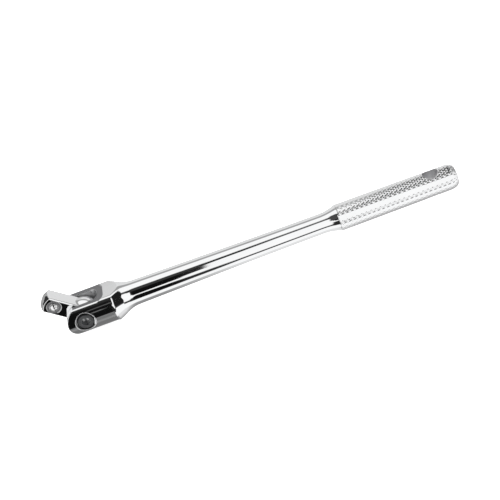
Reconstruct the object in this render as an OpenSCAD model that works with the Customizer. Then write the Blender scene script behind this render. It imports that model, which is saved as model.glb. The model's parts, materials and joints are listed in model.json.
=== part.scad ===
// Flex-head breaker bar with a square drive, in millimetres.
// X runs along the bar towards the grip, Y runs along the pivot, Z is normal to the head's flats.
// Each piece is drawn with the pivot at x = 0, then moved so that the cross hole is the origin.

/* [Square drive] */
// Side of the drive square (3/8 inch class)
drive_square = 9.5; // [9.42:0.01:9.53]
// Pivot to the tip of the drive
drive_reach = 24.3; // [23:0.1:27]
// Pivot to the step where the full square starts
square_start = 8.6; // [8.5:0.1:12]
// Bevel along the square's four long edges
edge_bevel = 0.6; // [0.3:0.1:0.9]
// Radius of the turned flat at the tip
tip_r = 3.4; // [3:0.1:4.2]
// How much wider the tip's cone gets for each millimetre away from the tip
tip_slope = 1.5; // [1:0.1:1.7]
// Angle of the drive above the bar's axis, at rest
drive_tilt = 42; // [-100:1:100]

/* [Hub] */
// Radius of the hub between the ears
hub_r = 8.3; // [7.8:0.1:8.4]
// Width of the hub
hub_w = 8.8; // [8.6:0.1:9]
// Width of the hub's cylindrical rim, between its two cones
rim_w = 2.4; // [1:0.1:4]
// Radius of the hub where its cones meet its sides
hub_side_r = 7.1; // [6.8:0.1:7.6]
// Fillet where the hub runs into the square
hub_fillet = 1.2; // [0.8:0.1:2]

/* [Fork head] */
// Radius of the turned head
head_r = 11.6; // [11:0.1:12.5]
// Pivot to the shoulder at the back of the head
head_back = 17.4; // [17:0.1:18]
// Rounding of that shoulder
shoulder_round = 2.5; // [1:0.1:3]
// Angle of the neck's cone behind the shoulder
neck_angle = 28; // [26:0.5:30]
// Height of the head's flats above the bar's axis
flat_z = 8.6; // [8:0.1:9]
// Depth of the milled step round the slot
step_depth = 0.35; // [0.2:0.05:0.5]
// Pivot to the end of the milled step
step_back = 13.6; // [12:0.1:14.5]
// Width of the milled step, just over the width of the flats
step_w = 16.4; // [16.3:0.1:17]
// Corner radius of the milled step
step_corner = 5.8; // [5:0.1:7]
// Radius of the ears' rounded ends
ear_r = 8.9; // [8.7:0.1:9.5]
// How far in front of the pivot that rounding is centred
ear_lead = 1.2; // [0.8:0.1:1.4]
// Width of the slot
slot_w = 9.9; // [9.8:0.1:10.2]
// Pivot to the floor of the slot
slot_floor = 10.1; // [10:0.1:10.6]
// Corner radius of the slot's floor
slot_corner = 3.8; // [3:0.1:3.9]

/* [Shank and grip] */
// Shank radius behind the neck
shank_r = 7; // [6.6:0.1:7.4]
// Shank radius in front of the grip
waist_r = 5.7; // [5.2:0.1:6.2]
// Shank radius just in front of the grip
collar_r = 7.5; // [7:0.05:7.55]
// Grip radius at its front, over the knurl
grip_r = 7.6; // [7.2:0.1:8]
// Grip radius at its back, over the knurl
grip_back_r = 7.25; // [7:0.05:8]
// Pivot to the end of the neck's curve
neck_end = 30.5; // [30.2:0.1:32]
// Pivot to the thinnest place
waist_x = 139.3; // [120:0.1:141]
// Pivot to the start of the grip
grip_start = 148.6; // [146:0.1:155]
// Pivot to the end of the bar
bar_end = 217.8; // [210:0.1:225]
// Length of the rounding at the end
end_round = 5.5; // [3:0.5:6]
// Radius of the flat on the end
end_r = 5; // [4:0.1:5.5]
// Radius of the cross hole
cross_r = 4.35; // [4:0.05:4.6]
// Cross hole to the end of the bar
cross_from_end = 13.7; // [11:0.1:15]

/* [Pivot screw] */
// Radius of the plain shoulder that the hub turns on
shoulder_r = 3; // [2.8:0.1:3.1]
// Radius of the thread
thread_r = 2.49; // [2.3:0.01:2.5]
// Radius of the screw's head
cap_r = 4.7; // [4.4:0.1:4.8]
// Radius of the counterbore round it
counterbore_r = 5.4; // [5.1:0.1:5.6]
// Pivot's middle to the floor of the counterbore
cap_seat = 7.3; // [7:0.1:7.6]
// Thickness of the head
cap_h = 3.2; // [2.2:0.1:3.4]
// Hex socket, across flats (3/16 inch)
hex_af = 4.76; // [4:0.01:4.8]
// Depth of the hex socket
hex_depth = 1.9; // [1.5:0.1:2.2]
// Pivot's middle to the threaded tip
screw_tip = 10.4; // [9.5:0.1:10.6]

/* [Balls and springs] */
// Radius of both steel balls (3/16 inch)
ball_r = 2.38; // [2.3:0.01:2.4]
// Pivot to the detent ball
detent_at = 17.9; // [17:0.1:19]
// Height of the detent ball above the square's face
ball_proud = 1.1; // [0.9:0.05:1.2]
// Middle of the square to the floor of the detent bore
detent_floor = 3.1; // [2.8:0.1:3.3]
// Pivot to the end of the friction bore
friction_end = 24.5; // [22:0.1:26]
// Coil radius of both springs
coil_r = 1.7; // [1.6:0.05:1.75]
// Wire radius of the detent spring
detent_wire = 0.22; // [0.2:0.01:0.28]
// Wire radius of the friction spring
friction_wire = 0.3; // [0.25:0.01:0.35]

/* [Hidden] */
$fn = 96;
run_fit = 0.05;
seat_gap = 0.02;
cut = 1;
arc_steps = 6;
curve_steps = 10;
coil_steps = 16;
taper_power = 1.4;
washer_clear = 0.3;
half = drive_square / 2;
cross_x = bar_end - cross_from_end;
washer_r = slot_floor - slot_corner - washer_clear;
washer_t = (slot_w - hub_w) / 2 - 2 * run_fit;
front = ear_r + ear_lead + cut;
shoulder_x = head_back - shoulder_round * tan(neck_angle / 2);
neck_arc = ((neck_end - head_back) * tan(neck_angle) - head_r + shank_r) / (1 / cos(neck_angle) - 1);
ball_centre_y = -(half + ball_proud - ball_r);
friction_x = hub_r + ball_r + seat_gap;
groove_in = 2.45;
groove_out = 3.95;
groove_depth = 0.35;
groove_slope = 0.3;
tip_chamfer = 0.5;
cap_chamfer = 0.4;
pellet_r = 0.8;
pellet_depth = 1.5;
pellet_y = 7.6;

// The bar's outline from the shoulder to the end, as [radius, x]
shoulder_line = [for (i = [0:arc_steps])
    let (a = neck_angle * i / arc_steps)
    [head_r - shoulder_round * (1 - cos(a)), shoulder_x + shoulder_round * sin(a)]];
neck_line = [for (i = [0:curve_steps])
    let (a = neck_angle * (1 - i / curve_steps))
    [shank_r + neck_arc * (1 - cos(a)), neck_end - neck_arc * sin(a)]];
shank_line = [for (i = [1:curve_steps])
    let (t = i / curve_steps)
    [waist_r + (shank_r - waist_r) * pow(1 - t, taper_power), neck_end + (waist_x - neck_end) * t]];
flare_line = [for (i = [1:curve_steps])
    let (t = i / curve_steps)
    [waist_r + (collar_r - waist_r) * t * t, waist_x + (grip_start - waist_x) * t]];
end_line = [for (i = [0:arc_steps])
    let (a = 90 * i / arc_steps)
    [end_r + (grip_back_r - end_r) * cos(a), bar_end - end_round + end_round * sin(a)]];

// A cylinder along Y between two y values
module y_rod(r, y0, y1) {
    translate([0, y1, 0])
        rotate([90, 0, 0])
            cylinder(r = r, h = y1 - y0);
}

// A cylinder along X between two x values
module x_rod(r, x0, x1) {
    translate([x0, 0, 0])
        rotate([0, 90, 0])
            cylinder(r = r, h = x1 - x0);
}

// A flat shape that is open towards -X and ends at x = back with two rounded corners
module tongue(front, back, width, corner) {
    translate([front, -width / 2])
        square([back - corner - front, width]);
    translate([front, corner - width / 2])
        square([back - front, width - 2 * corner]);
    for (side = [-1, 1])
        translate([back - corner, side * (width / 2 - corner)])
            circle(r = corner);
}

// The bar as it comes off the lathe, along +X
module turned_bar() {
    rotate([0, 90, 0])
        rotate_extrude()
            polygon(concat([[0, -front], [head_r, -front]], shoulder_line,
                           neck_line, shank_line, flare_line,
                           [[grip_r, grip_start + grip_r - collar_r]], end_line, [[0, bar_end]]));
}

// The room that the head's rounded ears leave for the bar
module ear_envelope() {
    translate([-ear_lead, 0, 0]) {
        y_rod(ear_r, -head_r - cut, head_r + cut);
        translate([0, -head_r - cut, -head_r - cut])
            cube([ear_lead + bar_end + cut, 2 * (head_r + cut), 2 * (head_r + cut)]);
    }
}

// One flat with its milled step, on the +Z side
module flat_cutter() {
    translate([-front, -head_r - cut, flat_z])
        cube([front + neck_end, 2 * (head_r + cut), head_r]);
    translate([0, 0, flat_z - step_depth])
        linear_extrude(head_r)
            tongue(-front, step_back, step_w, step_corner);
    translate([-front, -head_r - cut, flat_z - step_depth])
        cube([front + step_back - step_corner, 2 * (head_r + cut), head_r]);
}

module handle() {
    color("silver")
        difference() {
            intersection() {
                turned_bar();
                ear_envelope();
            }
            flat_cutter();
            mirror([0, 0, 1])
                flat_cutter();
            translate([0, 0, -head_r - cut])
                linear_extrude(2 * (head_r + cut))
                    tongue(-front, slot_floor, slot_w, slot_corner);
            y_rod(counterbore_r, -head_r - cut, -cap_seat);
            y_rod(shoulder_r + run_fit, -cap_seat - cut, 0);
            y_rod(thread_r + 0.01, 0, head_r + cut);
            x_rod(ball_r + run_fit, 0, friction_end);
            translate([cross_x, 0, -head_r])
                cylinder(r = cross_r, h = 2 * head_r);
        }
}

// The hub about Y, with a cone on each side of its rim
module hub() {
    rotate([90, 0, 0])
        rotate_extrude()
            polygon([[0, -hub_w / 2], [hub_side_r, -hub_w / 2], [hub_r, -rim_w / 2],
                     [hub_r, rim_w / 2], [hub_side_r, hub_w / 2], [0, hub_w / 2]]);
}

// Side outline of the block between hub and square, with its two concave fillets
module tang_web() {
    fillet_z = half + hub_fillet;
    fillet_x = sqrt(pow(hub_r + hub_fillet, 2) - pow(fillet_z, 2));
    translate([-square_start - cut / 2, -half])
        square([square_start + cut / 2, drive_square]);
    for (side = [-1, 1])
        scale([1, side])
            difference() {
                polygon([[0, 0], [-fillet_x, 0], [-fillet_x, fillet_z]]);
                translate([-fillet_x, fillet_z])
                    circle(r = hub_fillet);
            }
}

// The square with bevelled edges, turned down to a cone at the tip
module drive_end() {
    flat = half - edge_bevel;
    intersection() {
        translate([-drive_reach, 0, 0])
            rotate([0, 90, 0])
                linear_extrude(drive_reach - square_start)
                    polygon([[-half, -flat], [-half, flat], [-flat, half], [flat, half],
                             [half, flat], [half, -flat], [flat, -half], [-flat, -half]]);
        rotate([0, -90, 0])
            rotate_extrude()
                polygon([[0, 0], [drive_square, 0],
                         [drive_square, drive_reach - (drive_square - tip_r) / tip_slope],
                         [tip_r, drive_reach], [0, drive_reach]]);
    }
}

// Bore, lip and staked ring groove for the detent ball
module detent_cutter() {
    translate([-detent_at, 0, 0]) {
        translate([0, ball_centre_y, 0])
            sphere(r = ball_r + seat_gap);
        y_rod(ball_r + run_fit, ball_centre_y, detent_floor);
        translate([0, -half, 0])
            rotate([90, 0, 0])
                rotate_extrude()
                    polygon([[groove_in, cut], [groove_in, 0],
                             [groove_in + groove_slope, -groove_depth],
                             [groove_out - groove_slope, -groove_depth], [groove_out, 0],
                             [groove_out, cut]]);
    }
}

module drive_tang() {
    color("gainsboro")
        rotate([0, drive_tilt, 0])
            difference() {
                union() {
                    hub();
                    translate([0, hub_w / 2, 0])
                        rotate([90, 0, 0])
                            linear_extrude(hub_w)
                                tang_web();
                    drive_end();
                }
                y_rod(shoulder_r + run_fit, -half - cut, half + cut);
                detent_cutter();
            }
}

module pivot_screw() {
    color("dimgray")
        difference() {
            rotate([90, 0, 0])
                rotate_extrude()
                    polygon([[0, -screw_tip], [thread_r - tip_chamfer, -screw_tip],
                             [thread_r, tip_chamfer - screw_tip], [thread_r, seat_gap - slot_w / 2],
                             [shoulder_r, seat_gap - slot_w / 2], [shoulder_r, cap_seat + seat_gap],
                             [cap_r, cap_seat + seat_gap], [cap_r, cap_seat + cap_h - cap_chamfer],
                             [cap_r - cap_chamfer, cap_seat + cap_h], [0, cap_seat + cap_h]]);
            translate([0, hex_depth - cap_seat - cap_h, 0])
                rotate([90, 0, 0])
                    rotate([0, 0, 90])
                        cylinder(r = hex_af / 2 / cos(30), h = hex_depth + cut, $fn = 6);
            translate([0, pellet_y, 0])
                x_rod(pellet_r, thread_r - pellet_depth, thread_r + cut);
        }
}

module locking_pellet() {
    color("royalblue")
        intersection() {
            translate([0, pellet_y, 0])
                x_rod(pellet_r - 0.01, thread_r - pellet_depth + 0.01, thread_r + cut);
            y_rod(thread_r, pellet_y - 2 * pellet_r, pellet_y + 2 * pellet_r);
        }
}

// Thin washer that fills the gap on one side of the hub
module thrust_washer(side) {
    y0 = side * (hub_w / 2 + run_fit + washer_t / 2);
    color("darkgray")
        difference() {
            y_rod(washer_r, y0 - washer_t / 2, y0 + washer_t / 2);
            y_rod(shoulder_r + 2 * run_fit, y0 - washer_t, y0 + washer_t);
        }
}

module steel_ball() {
    color("whitesmoke")
        sphere(r = ball_r);
}

// A coil of round wire that starts at the origin and rises along +Z
module coil(wire, height, turns) {
    steps = coil_steps * turns;
    sides = 6;
    points = [for (i = [0:steps], j = [0:sides - 1])
        let (a = 360 * turns * i / steps, b = 360 * j / sides, r = coil_r + wire * cos(b))
        [r * cos(a), r * sin(a), height * i / steps + wire * sin(b)]];
    walls = [for (i = [0:steps - 1], j = [0:sides - 1])
        let (k = (j + 1) % sides)
        [i * sides + j, i * sides + k, (i + 1) * sides + k, (i + 1) * sides + j]];
    start_cap = [for (j = [0:sides - 1]) sides - 1 - j];
    end_cap = [for (j = [0:sides - 1]) steps * sides + j];
    polyhedron(points, concat([start_cap], walls, [end_cap]));
}

// Where a coil's first turn clears the back of a ball
function behind_ball(wire) = sqrt(pow(ball_r + wire + seat_gap, 2) - coil_r * coil_r);

module detent_ball() {
    rotate([0, drive_tilt, 0])
        translate([-detent_at, ball_centre_y, 0])
            steel_ball();
}

module detent_spring() {
    start = ball_centre_y + behind_ball(detent_wire);
    color("slategray")
        rotate([0, drive_tilt, 0])
            translate([-detent_at, start, 0])
                rotate([-90, 0, 0])
                    coil(detent_wire, detent_floor - detent_wire - seat_gap - start, 5);
}

module friction_ball() {
    translate([friction_x, 0, 0])
        steel_ball();
}

module friction_spring() {
    start = friction_x + behind_ball(friction_wire);
    color("slategray")
        translate([start, 0, 0])
            rotate([0, 90, 0])
                coil(friction_wire, friction_end - friction_wire - seat_gap - start, 7);
}

// Moves a piece drawn round the pivot so that the cross hole is the origin
module from_pivot() {
    translate([-cross_x, 0, 0])
        children();
}

from_pivot() handle();
from_pivot() drive_tang();
from_pivot() pivot_screw();
from_pivot() locking_pellet();
from_pivot() thrust_washer(-1);  // thrust_washer_near
from_pivot() thrust_washer(1);  // thrust_washer_far
from_pivot() detent_ball();
from_pivot() detent_spring();
from_pivot() friction_ball();
from_pivot() friction_spring();
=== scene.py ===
"""Flex-head breaker bar: chrome bar with a real cut knurl, hinged square drive, screw, balls and springs.

Pieces are drawn in millimetres from the pivot, most of them as distance fields that are turned into
meshes. They are then moved into the row frame, which is in metres with its origin at the cross hole.
"""

import json
import math
from collections import namedtuple

import bpy
import numpy as np
from mathutils import Matrix, Vector


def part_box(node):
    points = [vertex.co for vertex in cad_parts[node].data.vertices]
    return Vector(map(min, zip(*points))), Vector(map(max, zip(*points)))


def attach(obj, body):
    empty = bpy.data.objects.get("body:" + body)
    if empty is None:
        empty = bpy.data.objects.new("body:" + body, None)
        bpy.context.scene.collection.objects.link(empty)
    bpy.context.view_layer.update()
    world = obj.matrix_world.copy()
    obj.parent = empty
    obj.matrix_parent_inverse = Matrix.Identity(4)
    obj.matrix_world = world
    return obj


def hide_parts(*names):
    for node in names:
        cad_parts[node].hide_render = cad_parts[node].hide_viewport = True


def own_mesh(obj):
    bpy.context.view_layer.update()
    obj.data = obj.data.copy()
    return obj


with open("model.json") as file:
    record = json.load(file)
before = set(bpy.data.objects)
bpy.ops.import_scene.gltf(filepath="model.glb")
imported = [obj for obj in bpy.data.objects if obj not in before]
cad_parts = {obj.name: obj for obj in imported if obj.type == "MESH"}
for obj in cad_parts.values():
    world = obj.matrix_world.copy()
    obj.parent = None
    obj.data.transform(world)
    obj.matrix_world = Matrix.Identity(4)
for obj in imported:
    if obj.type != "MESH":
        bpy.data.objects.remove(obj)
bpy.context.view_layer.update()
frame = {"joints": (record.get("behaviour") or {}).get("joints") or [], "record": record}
MM = 0.001

# ---------------------------------------------------------------- sizes, in mm

swivel = next(j for j in frame["joints"] if j["name"] == "drive_swivel")
PIVOT = Vector(swivel["pos_m"])
handle_low, handle_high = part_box("handle")
BAR_END = (handle_high.x - PIVOT.x) / MM
HEAD_R = handle_high.y / MM
FLAT_Z = handle_high.z / MM
CROSS_X = -PIVOT.x / MM
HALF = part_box("drive_tang")[1].y / MM
washer_low, washer_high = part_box("thrust_washer_far")
WASHER_R = (washer_high.z - washer_low.z) / 2 / MM
WASHER_GAP = ((washer_low.y + washer_high.y) / 2 / MM, (washer_high.y - washer_low.y) / MM)

CROSS_R = next(m for m in frame["record"]["mounts"] if m["name"] == "cross_hole")["dims"]["r_mm"]
DRIVE_AXIS = Vector(next(m for m in frame["record"]["mounts"] if m["name"] == "square_drive")["axis"])
TILT = math.atan2(DRIVE_AXIS.z, -DRIVE_AXIS.x)

# The fork, with the step and slot milled in it
EAR_R, EAR_LEAD, EAR_ROUND, FLAT_EDGE_ROUND = 8.9, 1.2, 0.3, 0.6
STEP_DEPTH, STEP_BACK, STEP_W, STEP_CORNER, STEP_EDGE = 0.35, 13.6, 17.4, 5.8, 0.08
SLOT_W, SLOT_FLOOR, SLOT_CORNER = 9.9, 10.1, 3.8
COUNTERBORE_R, BORE_EDGE, CAP_SEAT = 5.4, 0.5, 7.3
# The turned outline, from the head's shoulder to the grip's end, and the knurl
HEAD_BACK, SHOULDER_ROUND, NECK_ANGLE = 17.4, 2.5, math.radians(28)
SHANK_R, WAIST_R, COLLAR_R, GRIP_R, GRIP_BACK_R = 7.0, 5.7, 7.5, 7.6, 7.25
NECK_END, WAIST_X, GRIP_START, TAPER_POWER = 30.5, 139.3, 148.6, 1.4
END_ROUND, END_R, END_FADE, END_EDGE, HOLE_EDGE = 5.5, 5.0, 1.5, 0.1, 0.35
KNURL_COUNT, KNURL_LENGTH, KNURL_DEPTH, KNURL_LAND, KNURL_RUN_IN = 28, 2.75, 0.075, 0.15, 0.4
# The drive's hub and square, and the ring staked round its ball
HUB_R, HUB_SIDE_R, HUB_W, RIM_W, HUB_FILLET = 8.3, 7.1, 8.8, 2.4, 1.2
SQUARE_START, DRIVE_REACH, EDGE_BEVEL, TIP_R, TIP_SLOPE = 8.6, 24.3, 0.6, 3.4, 1.5
GROOVE_IN, GROOVE_OUT, GROOVE_DEPTH = 2.45, 3.95, 0.35
# The screw and the pellet in its thread
CAP_R, CAP_H, CAP_EDGE_ROUND = 4.7, 3.2, 0.5
HEX_AF, HEX_DEPTH, DRILL_POINT = 4.76, 1.9, 0.35
SHOULDER_R, SCREW_TIP, TIP_CHAMFER = 3.0, 10.4, 0.6
THREAD_R, THREAD_PITCH, THREAD_DEPTH, LEAD_IN = 2.49, 0.8, 0.42, 0.25
PELLET_Y, PELLET_R, PELLET_LENGTH = 7.6, 0.79, 1.49
# The two balls and their springs
BALL_R, BALL_PROUD, DETENT_AT, DETENT_FLOOR = 2.38, 1.1, 17.9, 3.1
BALL_Y = -(HALF + BALL_PROUD - BALL_R)
FRICTION_END, COIL_R, DETENT_WIRE, FRICTION_WIRE = 24.5, 1.7, 0.22, 0.3
# Roundings of sharp edges: deburred, machined and worn
DEBURR, MACHINED, WORN = 0.05, 0.15, 0.2
# Gaps between pieces that run in each other, that touch, and in the thread
RUN_FIT, TOUCH, THREAD_FIT = 0.05, 0.02, 0.01
# How far a shape runs into the one it is joined to
OVERLAP = 1.0
# Grid steps of the meshes
HEAD_STEP, TAIL_STEP, DRIVE_STEP, SCREW_STEP, PELLET_STEP = 0.22, 0.16, 0.16, 0.11, 0.08

# ------------------------------------------------- distance fields and meshes


def both(a, b, r=0.0):
    """Where a and b are both solid, with its outside edge rounded to radius r."""
    return np.minimum(np.maximum(a, b), -r) + np.hypot(np.maximum(a + r, 0), np.maximum(b + r, 0))


def either(a, b, r=0.0):
    """Where a or b is solid, with the corner between them filled to radius r."""
    return -both(-a, -b, r)


def without(a, b, r=0.0):
    """a with b cut out of it, and the edge of the cut rounded to radius r."""
    return both(a, -b, r)


def tongue(x, y, back, width, corner):
    """A strip along X that ends at back with two rounded corners."""
    qx = x - (back - corner)
    qy = np.abs(y) - (width / 2 - corner)
    return both(qx, qy) - corner


def net(field, xs, ys, zs):
    """A quad mesh on a field's zero surface: one point in each grid cell that the surface crosses."""
    values = np.stack([field(np.full((len(ys), len(zs)), x), ys[:, None] + 0 * zs, zs + 0 * ys[:, None])
                       for x in xs])
    inside = values < 0
    corners = [(a, b, c) for a in (0, 1) for b in (0, 1) for c in (0, 1)]
    nx, ny, nz = inside.shape
    count = sum(inside[a:nx - 1 + a, b:ny - 1 + b, c:nz - 1 + c].astype(np.int8) for a, b, c in corners)
    cells = np.argwhere((count > 0) & (count < 8))
    ids = np.full(count.shape, -1, np.int64)
    ids[tuple(cells.T)] = np.arange(len(cells))
    corner_values = {k: values[tuple((cells + k).T)] for k in corners}
    total = np.zeros((len(cells), 3))
    hits = np.zeros(len(cells))
    for low in corners:
        for axis in range(3):
            if low[axis]:
                continue
            high = tuple(1 if i == axis else low[i] for i in range(3))
            v0, v1 = corner_values[low], corner_values[high]
            cross = (v0 < 0) != (v1 < 0)
            point = np.tile(np.array(low, float), (len(cells), 1))
            point[:, axis] = np.where(cross, v0 / np.where(cross, v0 - v1, 1), 0)
            total[cross] += point[cross]
            hits += cross
    local = total / hits[:, None]
    grid = (xs, ys, zs)
    points = np.stack([grid[i][cells[:, i]] + local[:, i] * np.diff(grid[i])[cells[:, i]]
                       for i in range(3)], 1)
    faces = []
    for axis in range(3):
        u, v = (axis + 1) % 3, (axis + 2) % 3
        low = [slice(1, -1)] * 3
        low[axis] = slice(None, -1)
        high = list(low)
        high[axis] = slice(1, None)
        change = inside[tuple(low)] != inside[tuple(high)]
        at = np.argwhere(change)
        start = np.array([0 if i == axis else 1 for i in range(3)])
        at = at + start
        solid = inside[tuple(at.T)]
        step_u, step_v = np.eye(3, dtype=int)[u], np.eye(3, dtype=int)[v]
        quad = np.stack([ids[tuple(c.T)] for c in (at - step_u - step_v, at - step_v, at, at - step_u)], 1)
        quad[~solid] = quad[~solid][:, ::-1]
        faces.append(quad)
    return points, np.concatenate(faces), cells


def slope(field, points, h=0.01):
    """The field's gradient at each point."""
    sides = []
    for axis in np.eye(3) * h:
        sides.append((field(*(points + axis).T) - field(*(points - axis).T)) / (2 * h))
    return np.stack(sides, 1)


def settle(field, points, rounds=4):
    """Moves points onto the field's zero surface."""
    least_square, most_move = 0.2, 0.1
    for _ in range(rounds):
        g = slope(field, points)
        step = field(*points.T) / np.maximum((g * g).sum(1), least_square)
        points = points - np.clip(step, -most_move, most_move)[:, None] * g
    return points


def stitch(first, second, points):
    """Triangles between two rings of points round the X axis, given as lists of point numbers."""
    def by_angle(ring):
        angles = np.arctan2(points[ring, 2], points[ring, 1])
        order = np.argsort(angles)
        return [ring[i] for i in order], list(angles[order])
    ring_a, angle_a = by_angle(np.array(first))
    ring_b, angle_b = by_angle(np.array(second))
    turn = 2 * math.pi
    angle_a.append(angle_a[0] + turn)
    angle_b.append(angle_b[0] + turn)
    i = j = 0
    faces = []
    while i < len(ring_a) or j < len(ring_b):
        a, b = ring_a[i % len(ring_a)], ring_b[j % len(ring_b)]
        if j >= len(ring_b) or (i < len(ring_a) and angle_a[i + 1] < angle_b[j + 1]):
            i += 1
            faces.append((a, ring_a[i % len(ring_a)], b))
        else:
            j += 1
            faces.append((a, ring_b[j % len(ring_b)], b))
    return faces


def make_piece(name, points, faces, normals, place=Matrix.Identity(4)):
    """A smooth mesh object from points in mm about the pivot, placed in the row frame in metres."""
    mesh = bpy.data.meshes.new(name)
    mesh.from_pydata([tuple(p) for p in points], [], [tuple(int(i) for i in f) for f in faces])
    mesh.polygons.foreach_set("use_smooth", np.ones(len(mesh.polygons), bool))
    if normals is not None:
        unit = normals / np.maximum(np.linalg.norm(normals, axis=1), 1e-9)[:, None]
        mesh.normals_split_custom_set_from_vertices([tuple(n) for n in unit])
    mesh.transform(Matrix.Translation(PIVOT) @ Matrix.Scale(MM, 4) @ place)
    obj = bpy.data.objects.new(name, mesh)
    bpy.context.scene.collection.objects.link(obj)
    return obj


def span(low, high, step):
    """Grid lines that start a step and a half before low and run at least half a step past high."""
    return np.arange(low - 1.5 * step, high + 1.6 * step, step)


def tube_faces(at):
    """Quads between rings of points, given as a table of point numbers with one ring in each row."""
    turned = np.roll(at, -1, 1)
    return np.stack([at[:-1], turned[:-1], turned[1:], at[1:]], 2).reshape(-1, 4)


def field_piece(name, field, low, high, step, place=Matrix.Identity(4)):
    """A piece made from a distance field inside a box."""
    grid = [span(low[i], high[i], step) for i in range(3)]
    points, faces, _ = net(field, *grid)
    points = settle(field, points)
    return make_piece(name, points, faces, slope(field, points), place)


# ------------------------------------------------------------------ the handle


def outline(x):
    """The turned bar's radius at x."""
    slant = math.tan(NECK_ANGLE)
    round_x = x - HEAD_BACK + SHOULDER_ROUND * math.tan(NECK_ANGLE / 2)
    u = np.clip(round_x, 0, SHOULDER_ROUND * math.sin(NECK_ANGLE))
    cone = slant * (round_x - u) * (round_x > 0)
    shoulder = HEAD_R - SHOULDER_ROUND + np.sqrt(SHOULDER_ROUND ** 2 - u * u) - cone
    arc = ((NECK_END - HEAD_BACK) * slant - HEAD_R + SHANK_R) / (1 / math.cos(NECK_ANGLE) - 1)
    arc_start = NECK_END - arc * math.sin(NECK_ANGLE)
    left = np.clip(NECK_END - x, 0, NECK_END - arc_start)
    neck = SHANK_R + arc - np.sqrt(arc * arc - left * left)
    t = np.clip((x - NECK_END) / (WAIST_X - NECK_END), 0, 1)
    shank = WAIST_R + (SHANK_R - WAIST_R) * (1 - t) ** TAPER_POWER
    flare = (COLLAR_R - WAIST_R) * np.clip((x - WAIST_X) / (GRIP_START - WAIST_X), 0, 1) ** 2
    grip_share = (x - GRIP_START) / (BAR_END - END_ROUND - GRIP_START)
    grip = np.minimum(GRIP_R + (GRIP_BACK_R - GRIP_R) * grip_share, COLLAR_R + x - GRIP_START)
    front = np.where(x < arc_start, shoulder, neck)
    middle = np.where(x < NECK_END, front, shank + flare)
    return np.where(x < GRIP_START, middle, grip)


def knurl_cut(x, angle):
    """How deep the two crossing sets of helical grooves cut at a place on the grip."""
    around = angle * KNURL_COUNT / (2 * math.pi)
    along = (x - GRIP_START) / KNURL_LENGTH
    cut = 0
    for phase in (around + along, around - along):
        ridge = np.abs(phase - np.round(phase)) * 2
        cut = np.maximum(cut, np.clip((ridge - KNURL_LAND) / (1 - KNURL_LAND), 0, 1))
    return KNURL_DEPTH * cut * np.clip((x - GRIP_START) / KNURL_RUN_IN, 0, 1)


def bar(x, y, z):
    """The turned and knurled bar, without its head's and end's cuts."""
    return np.hypot(y, z) - outline(x) + knurl_cut(x, np.arctan2(z, y))


def head(x, y, z):
    """The front of the bar, up to the neck's thin end."""
    round_bar = bar(x, y, z)
    full = both(round_bar, np.abs(z) - FLAT_Z, FLAT_EDGE_ROUND)
    lowered = both(round_bar, np.abs(z) - FLAT_Z + STEP_DEPTH, FLAT_EDGE_ROUND)
    solid = either(lowered, without(full, tongue(x, y, STEP_BACK, STEP_W, STEP_CORNER), STEP_EDGE))
    ear_x = np.minimum(x + EAR_LEAD, 0)
    solid = both(solid, np.hypot(ear_x, z * (ear_x < 0)) - EAR_R, EAR_ROUND)
    solid = without(solid, tongue(x, y, SLOT_FLOOR, SLOT_W, SLOT_CORNER), WORN)
    across = np.hypot(x, z)
    solid = without(solid, both(across - COUNTERBORE_R, y + CAP_SEAT), BORE_EDGE)
    solid = without(solid, both(across - SHOULDER_R - RUN_FIT, y))
    solid = without(solid, both(across - THREAD_R - THREAD_FIT, -y), LEAD_IN)
    return without(solid, both(np.hypot(y, z) - BALL_R - RUN_FIT, x - FRICTION_END), MACHINED)


def tail(x, y, z):
    """The end of the grip, with its rounding and the cross hole."""
    u = np.maximum(x - (BAR_END - END_ROUND), 0) / END_ROUND
    v = np.maximum(np.hypot(y, z) - END_R, 0) / (GRIP_BACK_R - END_R)
    knurl = knurl_cut(x, np.arctan2(z, y)) * np.clip((BAR_END - x) / END_FADE, 0, 1)
    rounding = both((np.hypot(u, v) - 1) * (GRIP_BACK_R - END_R) + knurl, x - BAR_END)
    solid = both(bar(x, y, z), rounding, END_EDGE)
    hole = np.hypot(x - CROSS_X, y) - CROSS_R
    return without(solid, hole, HOLE_EDGE)


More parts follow.
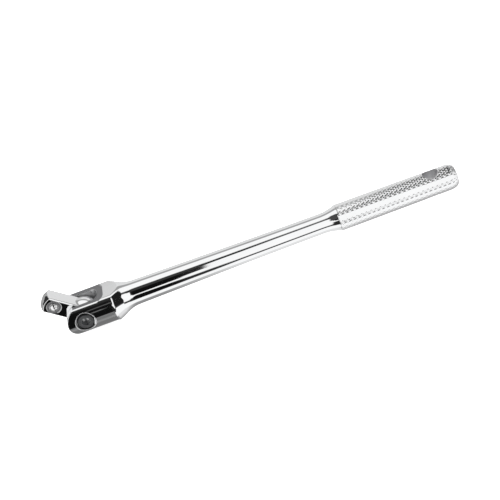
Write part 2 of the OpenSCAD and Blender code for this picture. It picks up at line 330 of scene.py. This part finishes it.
def build_handle():
    """One mesh: a gridded head and tail, with rings of points between them for the shank and grip."""
    head_grid_end = NECK_END - 2
    head_x = np.arange(-EAR_R - EAR_LEAD - 1.5 * HEAD_STEP, head_grid_end, HEAD_STEP)
    ys = span(-HEAD_R, HEAD_R, HEAD_STEP)
    zs = span(-FLAT_Z, FLAT_Z, HEAD_STEP)
    head_points, head_faces, head_cells = net(head, head_x, ys, zs)
    head_points = settle(head, head_points)
    before_hole = 1.4
    tail_x = np.arange(CROSS_X - CROSS_R - before_hole, BAR_END + 1.6 * TAIL_STEP, TAIL_STEP)
    ts = span(-GRIP_R, GRIP_R, TAIL_STEP)
    tail_points, tail_faces, tail_cells = net(tail, tail_x, ts, ts)
    tail_points = settle(tail, tail_points)

    per_groove, rows_per_groove, shank_rows, seam_gap = 12, 16, 180, 0.3
    sides = KNURL_COUNT * per_groove
    shank_x = np.linspace(head_points[:, 0].max() + seam_gap, GRIP_START, shank_rows)
    row = KNURL_LENGTH / rows_per_groove
    grip_rows = int((tail_points[:, 0].min() - GRIP_START) / row)
    grip_x = GRIP_START + row * np.arange(1, grip_rows + 1)
    ring_x = np.concatenate([shank_x, grip_x])
    angle = 2 * math.pi * np.arange(sides) / sides
    gx, ga = np.meshgrid(ring_x, angle, indexing="ij")
    gr = outline(gx) - knurl_cut(gx, ga)
    ring_points = np.stack([gx, gr * np.cos(ga), gr * np.sin(ga)], 2).reshape(-1, 3)
    at = np.arange(len(ring_x) * sides).reshape(-1, sides)
    ring_faces = tube_faces(at)

    n_head, n_ring = len(head_points), len(ring_points)
    points = np.concatenate([head_points, ring_points, tail_points])
    head_rim = np.flatnonzero(head_cells[:, 0] == head_cells[:, 0].max())
    tail_rim = np.flatnonzero(tail_cells[:, 0] == 0) + n_head + n_ring
    seams = stitch(head_rim, at[0] + n_head, points) + stitch(at[-1] + n_head, tail_rim, points)
    faces = [tuple(f) for f in head_faces] + [tuple(f + n_head) for f in ring_faces]
    faces += [tuple(f + n_head + n_ring) for f in tail_faces] + seams
    normals = np.concatenate([slope(head, head_points), slope(bar, ring_points),
                              slope(tail, tail_points)])
    return make_piece("handle_chrome", points, faces, normals)


# ------------------------------------------------------------------- the drive


def drive(x, y, z):
    """The tang in its own frame, with its tip at -X."""
    hub_round, plate_round, root_fillet = 0.3, 0.5, 0.12
    bevel_round, cone_round, tip_round = 0.1, 0.12, 0.25
    lean = (HUB_R - HUB_SIDE_R) / (HUB_W / 2 - RIM_W / 2)
    cones = (np.hypot(x, z) - HUB_R + lean * (np.abs(y) - RIM_W / 2)) / math.hypot(1, lean)
    hub = both(np.hypot(x, z) - HUB_R, cones, hub_round)
    web = both(np.abs(z) - HALF, np.maximum(x, -x - SQUARE_START - OVERLAP))
    plate = both(either(hub, web, HUB_FILLET), np.abs(y) - HUB_W / 2, plate_round)
    wide = np.maximum(np.abs(y), np.abs(z)) - HALF
    corner = (np.abs(y) + np.abs(z) - 2 * HALF + EDGE_BEVEL) / math.sqrt(2)
    square = both(both(wide, corner, bevel_round), x + SQUARE_START, MACHINED)
    cone = (np.hypot(y, z) - TIP_R - TIP_SLOPE * (DRIVE_REACH + x)) / math.hypot(1, TIP_SLOPE)
    square = both(both(square, cone, cone_round), -x - DRIVE_REACH, tip_round)
    solid = either(plate, square, root_fillet)
    from_ball = np.hypot(x + DETENT_AT, z)
    pocket = np.sqrt(from_ball ** 2 + (y - BALL_Y) ** 2) - BALL_R - TOUCH
    bore = both(from_ball - BALL_R - RUN_FIT, np.maximum(BALL_Y - y, y - DETENT_FLOOR))
    middle, half_wide = (GROOVE_IN + GROOVE_OUT) / 2, (GROOVE_OUT - GROOVE_IN) / 2
    groove = both(np.abs(from_ball - middle) - half_wide, y + HALF - GROOVE_DEPTH, MACHINED)
    solid = without(solid, groove, MACHINED)
    solid = without(solid, either(pocket, bore), DEBURR)
    return without(solid, np.hypot(x, z) - SHOULDER_R - RUN_FIT, WORN)


def build_drive(turned):
    """The tang, turned to the angle it rests at."""
    low, high = (-DRIVE_REACH, -HALF, -HUB_R), (HUB_R, HALF, HUB_R)
    return field_piece("drive_tang_chrome", drive, low, high, DRIVE_STEP, turned)


# ------------------------------------------------- screw, balls, springs, small


def screw(x, y, z):
    """The screw's head with its hex socket, its plain shoulder and its helical thread."""
    edge = 0.1
    r = np.hypot(x, z)
    cap = both(r - CAP_R, np.maximum(-y - CAP_SEAT - CAP_H, y + CAP_SEAT + TOUCH), CAP_EDGE_ROUND)
    shank = both(r - SHOULDER_R, np.maximum(y - SLOT_W / 2 + TOUCH, -y - CAP_SEAT - OVERLAP), edge)
    phase = y / THREAD_PITCH + np.arctan2(z, x) / (2 * math.pi)
    groove = np.abs(phase - np.round(phase)) * 2
    # The groove's share is cut off at both ends, which leaves a narrow flat crest and root
    cut = THREAD_DEPTH * np.clip(1.15 * groove - 0.1, 0, 1)
    thread = both(r - THREAD_R + cut, np.maximum(y - SCREW_TIP, -y), edge)
    thread = both(thread, (r + y - SCREW_TIP - THREAD_R + TIP_CHAMFER) / math.sqrt(2))
    solid = either(either(cap, shank), thread)
    hexagon = -1e9
    for k in range(3):
        turn = math.radians(60 * k)
        hexagon = np.maximum(hexagon, np.abs(x * math.cos(turn) + z * math.sin(turn)) - HEX_AF / 2)
    floor = y + CAP_SEAT + CAP_H - HEX_DEPTH - DRILL_POINT * np.clip(1 - r / HEX_AF * 2, 0, 1)
    return without(solid, both(hexagon, floor, edge), MACHINED)


def build_screw():
    """The screw, meshed finely enough for its thread."""
    low, high = (-CAP_R, -CAP_SEAT - CAP_H, -CAP_R), (CAP_R, SCREW_TIP, CAP_R)
    return field_piece("pivot_screw_steel", screw, low, high, SCREW_STEP)


def ball_mesh(name, centre, place=Matrix.Identity(4)):
    """A ground steel ball, from a subdivided cube pushed out to the sphere."""
    steps = 24
    side = np.tan(np.linspace(-math.pi / 4, math.pi / 4, steps + 1))
    points, faces, seen = [], [], {}
    for axis in range(3):
        for sign in (-1, 1):
            grid = {}
            for i, a in enumerate(side):
                for j, b in enumerate(side):
                    p = np.zeros(3)
                    p[axis], p[(axis + 1) % 3], p[(axis + 2) % 3] = sign, a, b
                    key = tuple(np.round(p, 6))
                    if key not in seen:
                        seen[key] = len(points)
                        points.append(p / np.linalg.norm(p))
                    grid[i, j] = seen[key]
            for i in range(steps):
                for j in range(steps):
                    quad = [grid[i, j], grid[i + 1, j], grid[i + 1, j + 1], grid[i, j + 1]]
                    faces.append(quad if sign > 0 else quad[::-1])
    unit = np.array(points)
    return make_piece(name, unit * BALL_R + np.array(centre), faces, unit, place)


def coil_mesh(name, wire, height, turns, place):
    """A compression spring along +Z, with nearly one closed turn at each end."""
    per_turn, sides, closed_turns = 40, 12, 0.9
    steps = per_turn * turns
    t = np.linspace(0, 1, steps + 1)
    closed = closed_turns / turns
    rise = np.clip((t - closed) / (1 - 2 * closed), 0, 1)
    centre_z = rise * height
    a = 2 * math.pi * turns * t
    b = 2 * math.pi * np.arange(sides) / sides
    r = COIL_R + wire * np.cos(b)[None, :]
    points = np.stack([r * np.cos(a)[:, None], r * np.sin(a)[:, None],
                       centre_z[:, None] + wire * np.sin(b)[None, :]], 2).reshape(-1, 3)
    at = np.arange((steps + 1) * sides).reshape(-1, sides)
    faces = [tuple(f) for f in tube_faces(at)] + [tuple(at[0][::-1]), tuple(at[-1])]
    return make_piece(name, points, faces, None, place)


def behind_ball(wire):
    """How far behind its ball's centre a spring's first turn lies."""
    return math.sqrt((BALL_R + wire + TOUCH) ** 2 - COIL_R ** 2)


def build_small_parts(turned):
    """The balls, springs, washers and pellet, each in place of its plain CAD solid."""
    friction_x = HUB_R + BALL_R + TOUCH
    pieces = {}
    pieces["detent_ball"] = ball_mesh("detent_ball_steel", (-DETENT_AT, BALL_Y, 0), turned)
    pieces["friction_ball"] = ball_mesh("friction_ball_steel", (friction_x, 0, 0))
    start = BALL_Y + behind_ball(DETENT_WIRE)
    to_bore = turned @ Matrix.Translation((-DETENT_AT, start, 0)) @ Matrix.Rotation(-math.pi / 2, 4, "X")
    height = DETENT_FLOOR - DETENT_WIRE - TOUCH - start
    pieces["detent_spring"] = coil_mesh("detent_spring_wire", DETENT_WIRE, height, 6, to_bore)
    squeeze(pieces["detent_spring"])
    start = friction_x + behind_ball(FRICTION_WIRE)
    to_bore = Matrix.Translation((start, 0, 0)) @ Matrix.Rotation(math.pi / 2, 4, "Y")
    height = FRICTION_END - FRICTION_WIRE - TOUCH - start
    pieces["friction_spring"] = coil_mesh("friction_spring_wire", FRICTION_WIRE, height, 9, to_bore)
    squeeze(pieces["friction_spring"])
    for node, side in (("thrust_washer_near", -1), ("thrust_washer_far", 1)):
        pieces[node] = washer_mesh(node + "_wave", side)
    pieces["locking_pellet"] = build_pellet()
    return pieces


def squeeze(piece):
    """Gives the spring its own copy of its mesh."""
    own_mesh(piece)


def washer_mesh(name, side):
    """A thin steel washer with shallow waves, as thick over its waves as the gap it fills."""
    middle, room = WASHER_GAP
    sheet, waves = 0.25, 3
    wave = (room - sheet) / 2
    bore_r = SHOULDER_R + 0.1
    ring = ((bore_r, -1), (WASHER_R, -1), (WASHER_R, 1), (bore_r, 1))
    inset = 0.06
    outline_points = []
    for k, (r, h) in enumerate(ring):
        inward = inset if r < WASHER_R else -inset
        flat_first = (r + inward, h * sheet / 2), (r, h * (sheet / 2 - inset))
        outline_points += list(flat_first if k in (1, 3) else flat_first[::-1])
    steps = 120
    n = len(outline_points)
    points = []
    for i in range(steps):
        a = 2 * math.pi * i / steps
        lift = wave * math.cos(waves * a)
        points += [(r * math.cos(a), side * middle + h + lift, r * math.sin(a)) for r, h in outline_points]
    faces = [(i * n + j, i * n + (j + 1) % n, (i + 1) % steps * n + (j + 1) % n, (i + 1) % steps * n + j)
             for i in range(steps) for j in range(n)]
    return make_piece(name, points, faces, None)


def pellet(x, y, z):
    """A nylon plug in a cross bore of the screw, flush with the thread's crests."""
    r = np.hypot(y - PELLET_Y, z)
    body = both(r - PELLET_R, THREAD_R - PELLET_LENGTH - x, 0.1)
    return both(body, np.hypot(x, z) - THREAD_R, DEBURR)


def build_pellet():
    """The pellet, meshed in a box that leaves a little room round it."""
    low, high = (0.9, 6.7, -0.9), (2.6, 8.5, 0.9)
    return field_piece("locking_pellet_nylon", pellet, low, high, PELLET_STEP)


# -------------------------------------------------------------------- materials


class Nodes:
    """Small helper to add and join shader nodes."""

    def __init__(self, tree):
        self.tree = tree

    def add(self, kind, **values):
        """A new node, with its inputs or settings given by name."""
        node = self.tree.nodes.new(kind)
        for key, value in values.items():
            if key in node.inputs.keys():
                node.inputs[key].default_value = value
            else:
                setattr(node, key, value)
        return node

    def link(self, a, b):
        self.tree.links.new(a, b)

    def feed(self, sockets, values):
        """Gives each socket its value, which is a number or another node's output."""
        for socket, value in zip(sockets, values):
            if isinstance(value, (int, float)):
                socket.default_value = value
            else:
                self.link(value, socket)

    def math(self, operation, *values):
        """The result of one arithmetic step."""
        node = self.tree.nodes.new("ShaderNodeMath")
        node.operation = operation
        self.feed(node.inputs, values)
        return node.outputs[0]

    def step(self, value, low, high):
        """0 below low, 1 above high, smooth between them."""
        node = self.tree.nodes.new("ShaderNodeMapRange")
        node.interpolation_type = "SMOOTHSTEP"
        node.inputs["From Min"].default_value = low
        node.inputs["From Max"].default_value = high
        self.link(value, node.inputs["Value"])
        return node.outputs["Result"]

    def blend(self, factor, a, b):
        """a where the factor is 0 and b where it is 1."""
        node = self.tree.nodes.new("ShaderNodeMix")
        node.data_type = "FLOAT"
        self.feed((node.inputs[0], node.inputs[2], node.inputs[3]), (factor, a, b))
        return node.outputs[0]


def metal(name, colour, roughness, grain=0.02, ripple=0.0):
    """A metal with fine scratches, faint smudges and, if asked, slow ripples."""
    material = bpy.data.materials.new(name)
    material.use_nodes = True
    tree = material.node_tree
    n = Nodes(tree)
    shader = tree.nodes["Principled BSDF"]
    shader.inputs["Metallic"].default_value = 1.0
    place = n.add("ShaderNodeTexCoord").outputs["Object"]

    smudge = n.add("ShaderNodeTexNoise", Scale=90.0, Detail=3.0)
    n.link(place, smudge.inputs["Vector"])
    stretch = n.add("ShaderNodeMapping")
    stretch.inputs["Scale"].default_value = (60.0, 1400.0, 1400.0)
    n.link(place, stretch.inputs["Vector"])
    scratch = n.add("ShaderNodeTexNoise", Scale=1.0, Detail=4.0)
    n.link(stretch.outputs[0], scratch.inputs["Vector"])

    smudge_share = n.math("MULTIPLY_ADD", smudge.outputs["Fac"], grain * 2, roughness - grain)
    scratch_share = n.math("MULTIPLY", scratch.outputs["Fac"], grain)
    n.link(n.math("ADD", smudge_share, scratch_share), shader.inputs["Roughness"])

    tint = n.add("ShaderNodeMix", data_type="RGBA")
    tint.inputs[6].default_value = (*colour, 1)
    smudged = 0.93
    tint.inputs[7].default_value = (*[c * smudged for c in colour], 1)
    n.link(smudge.outputs["Fac"], tint.inputs[0])
    n.link(tint.outputs[2], shader.inputs["Base Color"])

    bump = n.add("ShaderNodeBump", Strength=0.02, Distance=0.0001)
    n.link(scratch.outputs["Fac"], bump.inputs["Height"])
    if ripple:
        slow = n.add("ShaderNodeMapping")
        slow.inputs["Scale"].default_value = (60.0, 160.0, 160.0)
        n.link(place, slow.inputs["Vector"])
        wave = n.add("ShaderNodeTexNoise", Scale=1.0, Detail=1.0)
        n.link(slow.outputs[0], wave.inputs["Vector"])
        swell = n.add("ShaderNodeBump", Strength=ripple, Distance=0.0005)
        n.link(wave.outputs["Fac"], swell.inputs["Height"])
        n.link(swell.outputs[0], bump.inputs["Normal"])
    n.link(bump.outputs[0], shader.inputs["Normal"])
    return material


def nylon(name):
    """A blue plastic with a fine mottle."""
    material = bpy.data.materials.new(name)
    material.use_nodes = True
    n = Nodes(material.node_tree)
    shader = material.node_tree.nodes["Principled BSDF"]
    noise = n.add("ShaderNodeTexNoise", Scale=3000.0, Detail=2.0)
    ramp = n.add("ShaderNodeValToRGB")
    ramp.color_ramp.elements[0].color = (0.02, 0.07, 0.30, 1)
    ramp.color_ramp.elements[1].color = (0.04, 0.12, 0.42, 1)
    n.link(noise.outputs["Fac"], ramp.inputs[0])
    n.link(ramp.outputs[0], shader.inputs["Base Color"])
    shader.inputs["Roughness"].default_value = 0.5
    return material


def mark_faces(obj, material, test):
    """Gives a second material to the faces whose middle and normal, in mm from the pivot, pass a test."""
    obj.data.materials.append(material)
    index = len(obj.data.materials) - 1
    n = len(obj.data.polygons)
    centre, normal = np.zeros(n * 3), np.zeros(n * 3)
    obj.data.polygons.foreach_get("center", centre)
    obj.data.polygons.foreach_get("normal", normal)
    centre = (centre.reshape(-1, 3) - np.array(PIVOT)) / MM
    chosen = np.zeros(n, np.int32)
    obj.data.polygons.foreach_get("material_index", chosen)
    chosen[test(centre, normal.reshape(-1, 3))] = index
    obj.data.polygons.foreach_set("material_index", chosen)


# Each test below gets the faces' centres in mm and their normals, and is true for the faces it names.
# NEAR is how far a centre may lie from the plane or cylinder it is on.
NEAR = 0.05


def on_step(c, n):
    """The milled step round the slot, on both flats."""
    off_level, facing = 0.06, 0.97
    level = np.abs(np.abs(c[:, 2]) - (FLAT_Z - STEP_DEPTH)) < off_level
    return level & (np.abs(n[:, 2]) > facing) & (c[:, 0] < STEP_BACK)


def in_slot(c, n):
    """The walls and floor of the fork's slot."""
    inside = (c[:, 0] < SLOT_FLOOR + NEAR) & (np.abs(c[:, 1]) < SLOT_W / 2 + NEAR)
    return inside & (np.abs(c[:, 2]) < FLAT_Z - STEP_DEPTH - WORN)


def on_bore_edge(c, n):
    """The countersunk edge of the counterbore."""
    above_seat, margin = 0.3, 0.02
    r = np.hypot(c[:, 0], c[:, 2])
    on_edge = (r > COUNTERBORE_R + margin) & (r < COUNTERBORE_R + BORE_EDGE - margin)
    return on_edge & (c[:, 1] < -CAP_SEAT - above_seat)


def in_cross_hole(c, n):
    """The drilled wall of the cross hole."""
    return np.hypot(c[:, 0] - CROSS_X, c[:, 1]) < CROSS_R + NEAR


def socket_painted_glints(c, n):
    """Two patches on the floor of the screw's hex socket, beside the drill point, given a lighter metal as
    painted highlights for the point's glints.
    """
    middle_depth, off_depth = 0.25, 0.35
    middle_x, half_long, half_wide = 1.1, 0.5, 0.8
    floor = np.abs(c[:, 1] + CAP_SEAT + CAP_H - HEX_DEPTH - middle_depth) < off_depth
    return floor & (np.abs(np.abs(c[:, 0]) - middle_x) < half_long) & (np.abs(c[:, 2]) < half_wide)


def on_cap_edge_painted_shade(c, n):
    """The rolled edge of the screw's head, painted near-black as the shade of the gap round the head."""
    above_seat = 0.3
    return (np.hypot(c[:, 0], c[:, 2]) > CAP_R - CAP_EDGE_ROUND) & (c[:, 1] < -CAP_SEAT - above_seat)


def in_groove(c, n):
    """The staked ring round the detent ball."""
    along = -c[:, 0] * math.cos(TILT) + c[:, 2] * math.sin(TILT) - DETENT_AT
    across = c[:, 0] * math.sin(TILT) + c[:, 2] * math.cos(TILT)
    r = np.hypot(along, across)
    in_ring, off_depth = GROOVE_OUT - 0.1, 0.25
    return (r > BALL_R) & (r < in_ring) & (np.abs(c[:, 1] + HALF - GROOVE_DEPTH / 2) < off_depth)


# ----------------------------------------------------------------- build it all

chrome = metal("polished_chrome", (0.93, 0.935, 0.94), 0.045, 0.02, 0.05)
satin = metal("satin_chrome", (0.30, 0.30, 0.31), 0.33, 0.06)
# Also put on two patches of the screw's socket floor, where its lighter colour is a painted highlight
milled_and_glint = metal("milled_slot_and_painted_glint", (0.78, 0.78, 0.79), 0.42, 0.06)
staked = metal("staked_ring", (0.40, 0.40, 0.41), 0.35, 0.06)
dark_steel = metal("dark_screw_steel", (0.25, 0.255, 0.26), 0.30, 0.06)
# Near-black metal, painted shade on the screw head's rounded rim for the gap round the head
painted_gap_shade = metal("painted_cap_edge_shade", (0.05, 0.05, 0.052), 0.35, 0.06)
ball_steel = metal("ground_ball_steel", (0.93, 0.93, 0.93), 0.04, 0.02)
spring_steel = metal("spring_wire", (0.42, 0.43, 0.45), 0.28, 0.05)
washer_steel = metal("rolled_steel", (0.55, 0.55, 0.56), 0.25, 0.05)
blue_nylon = nylon("blue_nylon")

handle = build_handle()
handle.data.materials.append(chrome)
mark_faces(handle, satin, on_step)
mark_faces(handle, milled_and_glint, in_slot)
mark_faces(handle, milled_and_glint, on_bore_edge)
mark_faces(handle, milled_and_glint, in_cross_hole)
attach(handle, "bar")
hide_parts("handle")

to_rest_angle = Matrix.Rotation(TILT, 4, "Y")
tang = build_drive(to_rest_angle)
tang.data.materials.append(chrome)
mark_faces(tang, staked, in_groove)
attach(tang, "drive")
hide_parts("drive_tang")

pivot_screw = build_screw()
pivot_screw.data.materials.append(dark_steel)
# Two patches of the socket floor get the lighter metal as painted highlights for the drill point's glints
mark_faces(pivot_screw, milled_and_glint, socket_painted_glints)
# The head's rounded rim is painted near-black as the shade of the gap round it
mark_faces(pivot_screw, painted_gap_shade, on_cap_edge_painted_shade)
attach(pivot_screw, "bar")
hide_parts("pivot_screw")

# Each small piece's material, body and slot
FINISH = {
    "detent_ball": (ball_steel, "detent_ball", "ball_steel"),
    "friction_ball": (ball_steel, "friction_ball", "ball_steel"),
    "detent_spring": (spring_steel, "drive", "spring_steel"),
    "friction_spring": (spring_steel, "bar", "spring_steel"),
    "thrust_washer_near": (washer_steel, "bar", "washer_steel"),
    "thrust_washer_far": (washer_steel, "bar", "washer_steel"),
    "locking_pellet": (blue_nylon, "bar", "nylon"),
}
for node, piece in build_small_parts(to_rest_angle).items():
    material, body, slot = FINISH[node]
    piece.data.materials.append(material)
    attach(piece, body)
    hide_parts(node)

# ------------------------------------------------------------- floor and studio

# The middle of the bar, roughly, in metres
STUDIO_X = -0.1


def build_floor():
    """A pale sheet that the bar lies on."""
    gap = 0.0005
    bpy.ops.mesh.primitive_plane_add(size=3.0, location=(STUDIO_X, 0, handle_low.z - gap))
    floor = bpy.context.object
    floor.name = "floor"
    floor.visible_glossy = False
    material = bpy.data.materials.new("pale_sheet")
    material.use_nodes = True
    n = Nodes(material.node_tree)
    shader = material.node_tree.nodes["Principled BSDF"]
    shader.inputs["Roughness"].default_value = 0.9
    shader.inputs["Base Color"].default_value = (0.9, 0.9, 0.9, 1)
    shader.inputs["Emission Color"].default_value = (1, 1, 1, 1)
    shader.inputs["Emission Strength"].default_value = 0.75
    floor.data.materials.append(material)


# Cards on the light tent. Angles go round the X axis, from -Y towards +Z, in degrees; x is in mm from
# the pivot. A card's two angles can lean with x. Tones are as seen, from 0 for black to 1 for white.
Card = namedtuple("Card", "low high tone x0 x1 soft x_soft low_lean high_lean",
                  defaults=(None, None, 5, 6, 0, 0))
TENT_LIGHT = 1.05
CARDS = [
    # Bands and lines along the shank and grip
    Card(120, 142, 0.64, soft=9, low_lean=-0.08, high_lean=-0.08),
    Card(143, 230, 0.90, soft=9, low_lean=-0.08),
    Card(143, 230, 0.83, x1=0, soft=9, x_soft=20),
    Card(143, 212, 0.64, x1=-75, soft=9, x_soft=20),
    Card(52, 68, 0.34, soft=6),
    Card(50, 67, 0.15, x1=112, soft=6, x_soft=50),
    Card(-28, -14, 0.16, x1=168, soft=5),
    Card(-27, -15, 0.08, x1=104, soft=5, x_soft=40),
    Card(-20, -13, 0.25, x0=168, soft=4),
    Card(-160, -66, 0.92, soft=14),
    Card(-160, -66, 0.58, x1=65, soft=14, x_soft=90),
    Card(-160, -74, 0.72, x0=165, soft=14, x_soft=30),
    # Dark stripes on the shank's front half
    Card(20, 72, 0.14, x1=67, soft=4, high_lean=-0.04),
    Card(14, 74, 0.06, x1=48, soft=4, high_lean=-0.06),
    Card(50, 72, 0.23, x1=67, soft=9, high_lean=-0.04),
    Card(-32, 4, 0.20, x1=85, soft=4, x_soft=30, high_lean=-0.15),
    Card(-33, 9, 0.06, x1=48, soft=4, x_soft=20, high_lean=-0.2),
    # The neck, the fork and the drive
    Card(-160, 64, 1.0, x1=-9, soft=4, x_soft=3),
    Card(-160, -27, 0.47, x0=-57, x1=-9, soft=4, x_soft=3),
    Card(-60, -46, 0.56, x0=-57, x1=-9, soft=8, x_soft=3),
    Card(-160, -104, 1.0, x0=-57, x1=-9, soft=6, x_soft=3),
    Card(-27, 64, 0.06, x0=-68, x1=-9, soft=4, x_soft=3),
    Card(42, 64, 0.19, x0=-68, x1=-9, soft=14, x_soft=3),
    Card(25, 29, 0.38, x0=-31, x1=-9, soft=4, x_soft=3),
    Card(7, 11, 0.48, x0=-29, x1=-18, soft=4, x_soft=8),
    # The drive's side and tip
    Card(-38, -20, 0.06, x0=-90, x1=-35, soft=4, x_soft=4),
    Card(90, 130, 0.20, x1=-130, soft=8, x_soft=20),
]
# Cards that stand across the tent. Only rays that run back towards the head, or on towards the grip,
# by more than the slope given with each card meet them. The back ones darken the flare, and the
# forward ones the knurl and the grip's end.
BACK_CARDS = [
    (0.15, Card(26, 76, 0.29, x0=-20, x1=88, soft=4, x_soft=24)),
    (0.15, Card(-30, 6, 0.17, x0=-20, x1=74, soft=4, x_soft=24)),
]
FORWARD_CARDS = [
    (0.20, Card(62, 140, 0.20, x0=188, x1=312, soft=8, x_soft=30)),
    (0.20, Card(112, 150, 0.42, x0=330, soft=20, x_soft=30)),
]
# The card that darkens the neck's cone
SIDE_CARD = Card(-15, 85, 0.12, x0=213, x1=300, soft=8, x_soft=8)
SIDE_CARD_MIDDLE, SIDE_CARD_LEAN, SIDE_CARD_SLOPE = 34, 1.3, 0.60


def linear(tone):
    """The light that a tone as seen stands for."""
    return ((tone + 0.055) / 1.055) ** 2.4


def build_tent():
    """A light tent round the bar, seen only in its reflections, with dark and pale cards on it."""
    radius, length = 0.20, 1.6
    bpy.ops.mesh.primitive_cylinder_add(radius=radius, depth=length, vertices=128,
                                        rotation=(0, math.pi / 2, 0), location=(PIVOT.x / 2, 0, 0))
    tent = bpy.context.object
    tent.name = "light_tent"
    for share in ("camera", "diffuse", "shadow", "transmission", "volume_scatter"):
        setattr(tent, "visible_" + share, False)
    material = bpy.data.materials.new("tent")
    material.use_nodes = True
    tree = material.node_tree
    tree.nodes.clear()
    n = Nodes(tree)
    geometry = n.add("ShaderNodeNewGeometry")
    parts = n.add("ShaderNodeSeparateXYZ")
    n.link(geometry.outputs["Position"], parts.inputs[0])
    x, y, z = parts.outputs
    angle = n.math("MULTIPLY", n.math("ARCTAN2", z, n.math("MULTIPLY", y, -1.0)), 180 / math.pi)
    # Angles run up from the wrap, which lies at the bar's hidden edge
    wrap = -148.0
    angle = n.math("ADD", angle, n.math("MULTIPLY", n.math("LESS_THAN", angle, wrap), 360.0))
    along = n.math("MULTIPLY", n.math("SUBTRACT", x, PIVOT.x), 1 / MM)

    def card_mask(card, along):
        """1 where the card covers the tent and 0 where it doesn't, soft at its edges."""
        from_low = n.math("SUBTRACT", angle, n.math("MULTIPLY", along, card.low_lean))
        from_high = n.math("SUBTRACT", angle, n.math("MULTIPLY", along, card.high_lean))
        mask = n.step(from_low, card.low - card.soft / 2, card.low + card.soft / 2)
        over = n.step(from_high, card.high - card.soft / 2, card.high + card.soft / 2)
        mask = n.math("MULTIPLY", mask, n.math("SUBTRACT", 1.0, over))
        if card.x0 is not None:
            reached = n.step(along, card.x0 - card.x_soft / 2, card.x0 + card.x_soft / 2)
            mask = n.math("MULTIPLY", mask, reached)
        if card.x1 is not None:
            past = n.step(along, card.x1 - card.x_soft / 2, card.x1 + card.x_soft / 2)
            mask = n.math("MULTIPLY", mask, n.math("SUBTRACT", 1.0, past))
        return mask

    light = TENT_LIGHT
    for card in CARDS:
        light = n.blend(card_mask(card, along), light, linear(card.tone))
    incoming = n.add("ShaderNodeSeparateXYZ")
    n.link(geometry.outputs["Incoming"], incoming.inputs[0])
    back = incoming.outputs[0]
    forward = n.math("MULTIPLY", back, -1.0)
    # The side card's near edge comes forward above and below its middle
    off_middle = n.math("ABSOLUTE", n.math("SUBTRACT", angle, SIDE_CARD_MIDDLE))
    bent = n.math("ADD", along, n.math("MULTIPLY", off_middle, SIDE_CARD_LEAN))
    across = [(back, slope, card, along) for slope, card in BACK_CARDS]
    across += [(forward, slope, card, along) for slope, card in FORWARD_CARDS]
    across.append((forward, SIDE_CARD_SLOPE, SIDE_CARD, bent))
    soft_slope = 0.05
    for way, slope, card, position in across:
        met = n.step(way, slope, slope + soft_slope)
        light = n.blend(n.math("MULTIPLY", card_mask(card, position), met), light, linear(card.tone))
    glow = n.add("ShaderNodeEmission")
    n.link(light, glow.inputs["Strength"])
    out = n.add("ShaderNodeOutputMaterial")
    n.link(glow.outputs[0], out.inputs[0])
    tent.data.materials.append(material)


# Soft lamps, each with its place and width in metres and its power in watts
LAMPS = [((-0.1, -0.2, 0.6), 0.8, 3.0), ((-0.4, 0.5, 0.5), 0.6, 1.5)]


def build_lights():
    """A white surround, and soft lamps that the chrome doesn't mirror."""
    world = bpy.data.worlds.new("studio")
    bpy.context.scene.world = world
    world.use_nodes = True
    world.node_tree.nodes["Background"].inputs[0].default_value = (1, 1, 1, 1)
    world.node_tree.nodes["Background"].inputs[1].default_value = 0.9
    for place, size, power in LAMPS:
        data = bpy.data.lights.new("softbox", "AREA")
        data.size = size
        data.energy = power
        lamp = bpy.data.objects.new("softbox", data)
        lamp.location = place
        aim = Vector((STUDIO_X, 0, 0)) - lamp.location
        lamp.rotation_euler = aim.to_track_quat("-Z", "Y").to_euler()
        lamp.visible_glossy = False
        bpy.context.scene.collection.objects.link(lamp)


CAMERA = {"azimuth": 0.12, "elevation": 33.8, "roll": 20.25, "lens": 71.9, "distance": 0.5512,
          "aim": (-0.107, 0, 0)}


def build_camera():
    """A camera that looks along +Y from above, rolled so that the grip points up and to the right."""
    azimuth, elevation = math.radians(CAMERA["azimuth"]), math.radians(CAMERA["elevation"])
    back = Vector((math.sin(azimuth) * math.cos(elevation), -math.cos(azimuth) * math.cos(elevation),
                   math.sin(elevation)))
    right = Vector((math.cos(azimuth), math.sin(azimuth), 0))
    up = back.cross(right)
    roll = math.radians(CAMERA["roll"])
    turned_right = right * math.cos(roll) - up * math.sin(roll)
    turned_up = up * math.cos(roll) + right * math.sin(roll)
    aim = Vector(CAMERA["aim"])
    data = bpy.data.cameras.new("camera")
    data.lens = CAMERA["lens"]
    data.sensor_width = 36
    camera = bpy.data.objects.new("camera", data)
    rotation = Matrix((turned_right, turned_up, back)).transposed().to_4x4()
    camera.matrix_world = Matrix.Translation(aim + back * CAMERA["distance"]) @ rotation
    bpy.context.scene.collection.objects.link(camera)
    bpy.context.scene.camera = camera


build_floor()
build_tent()
build_lights()
build_camera()
bpy.context.scene.view_settings.view_transform = "Standard"
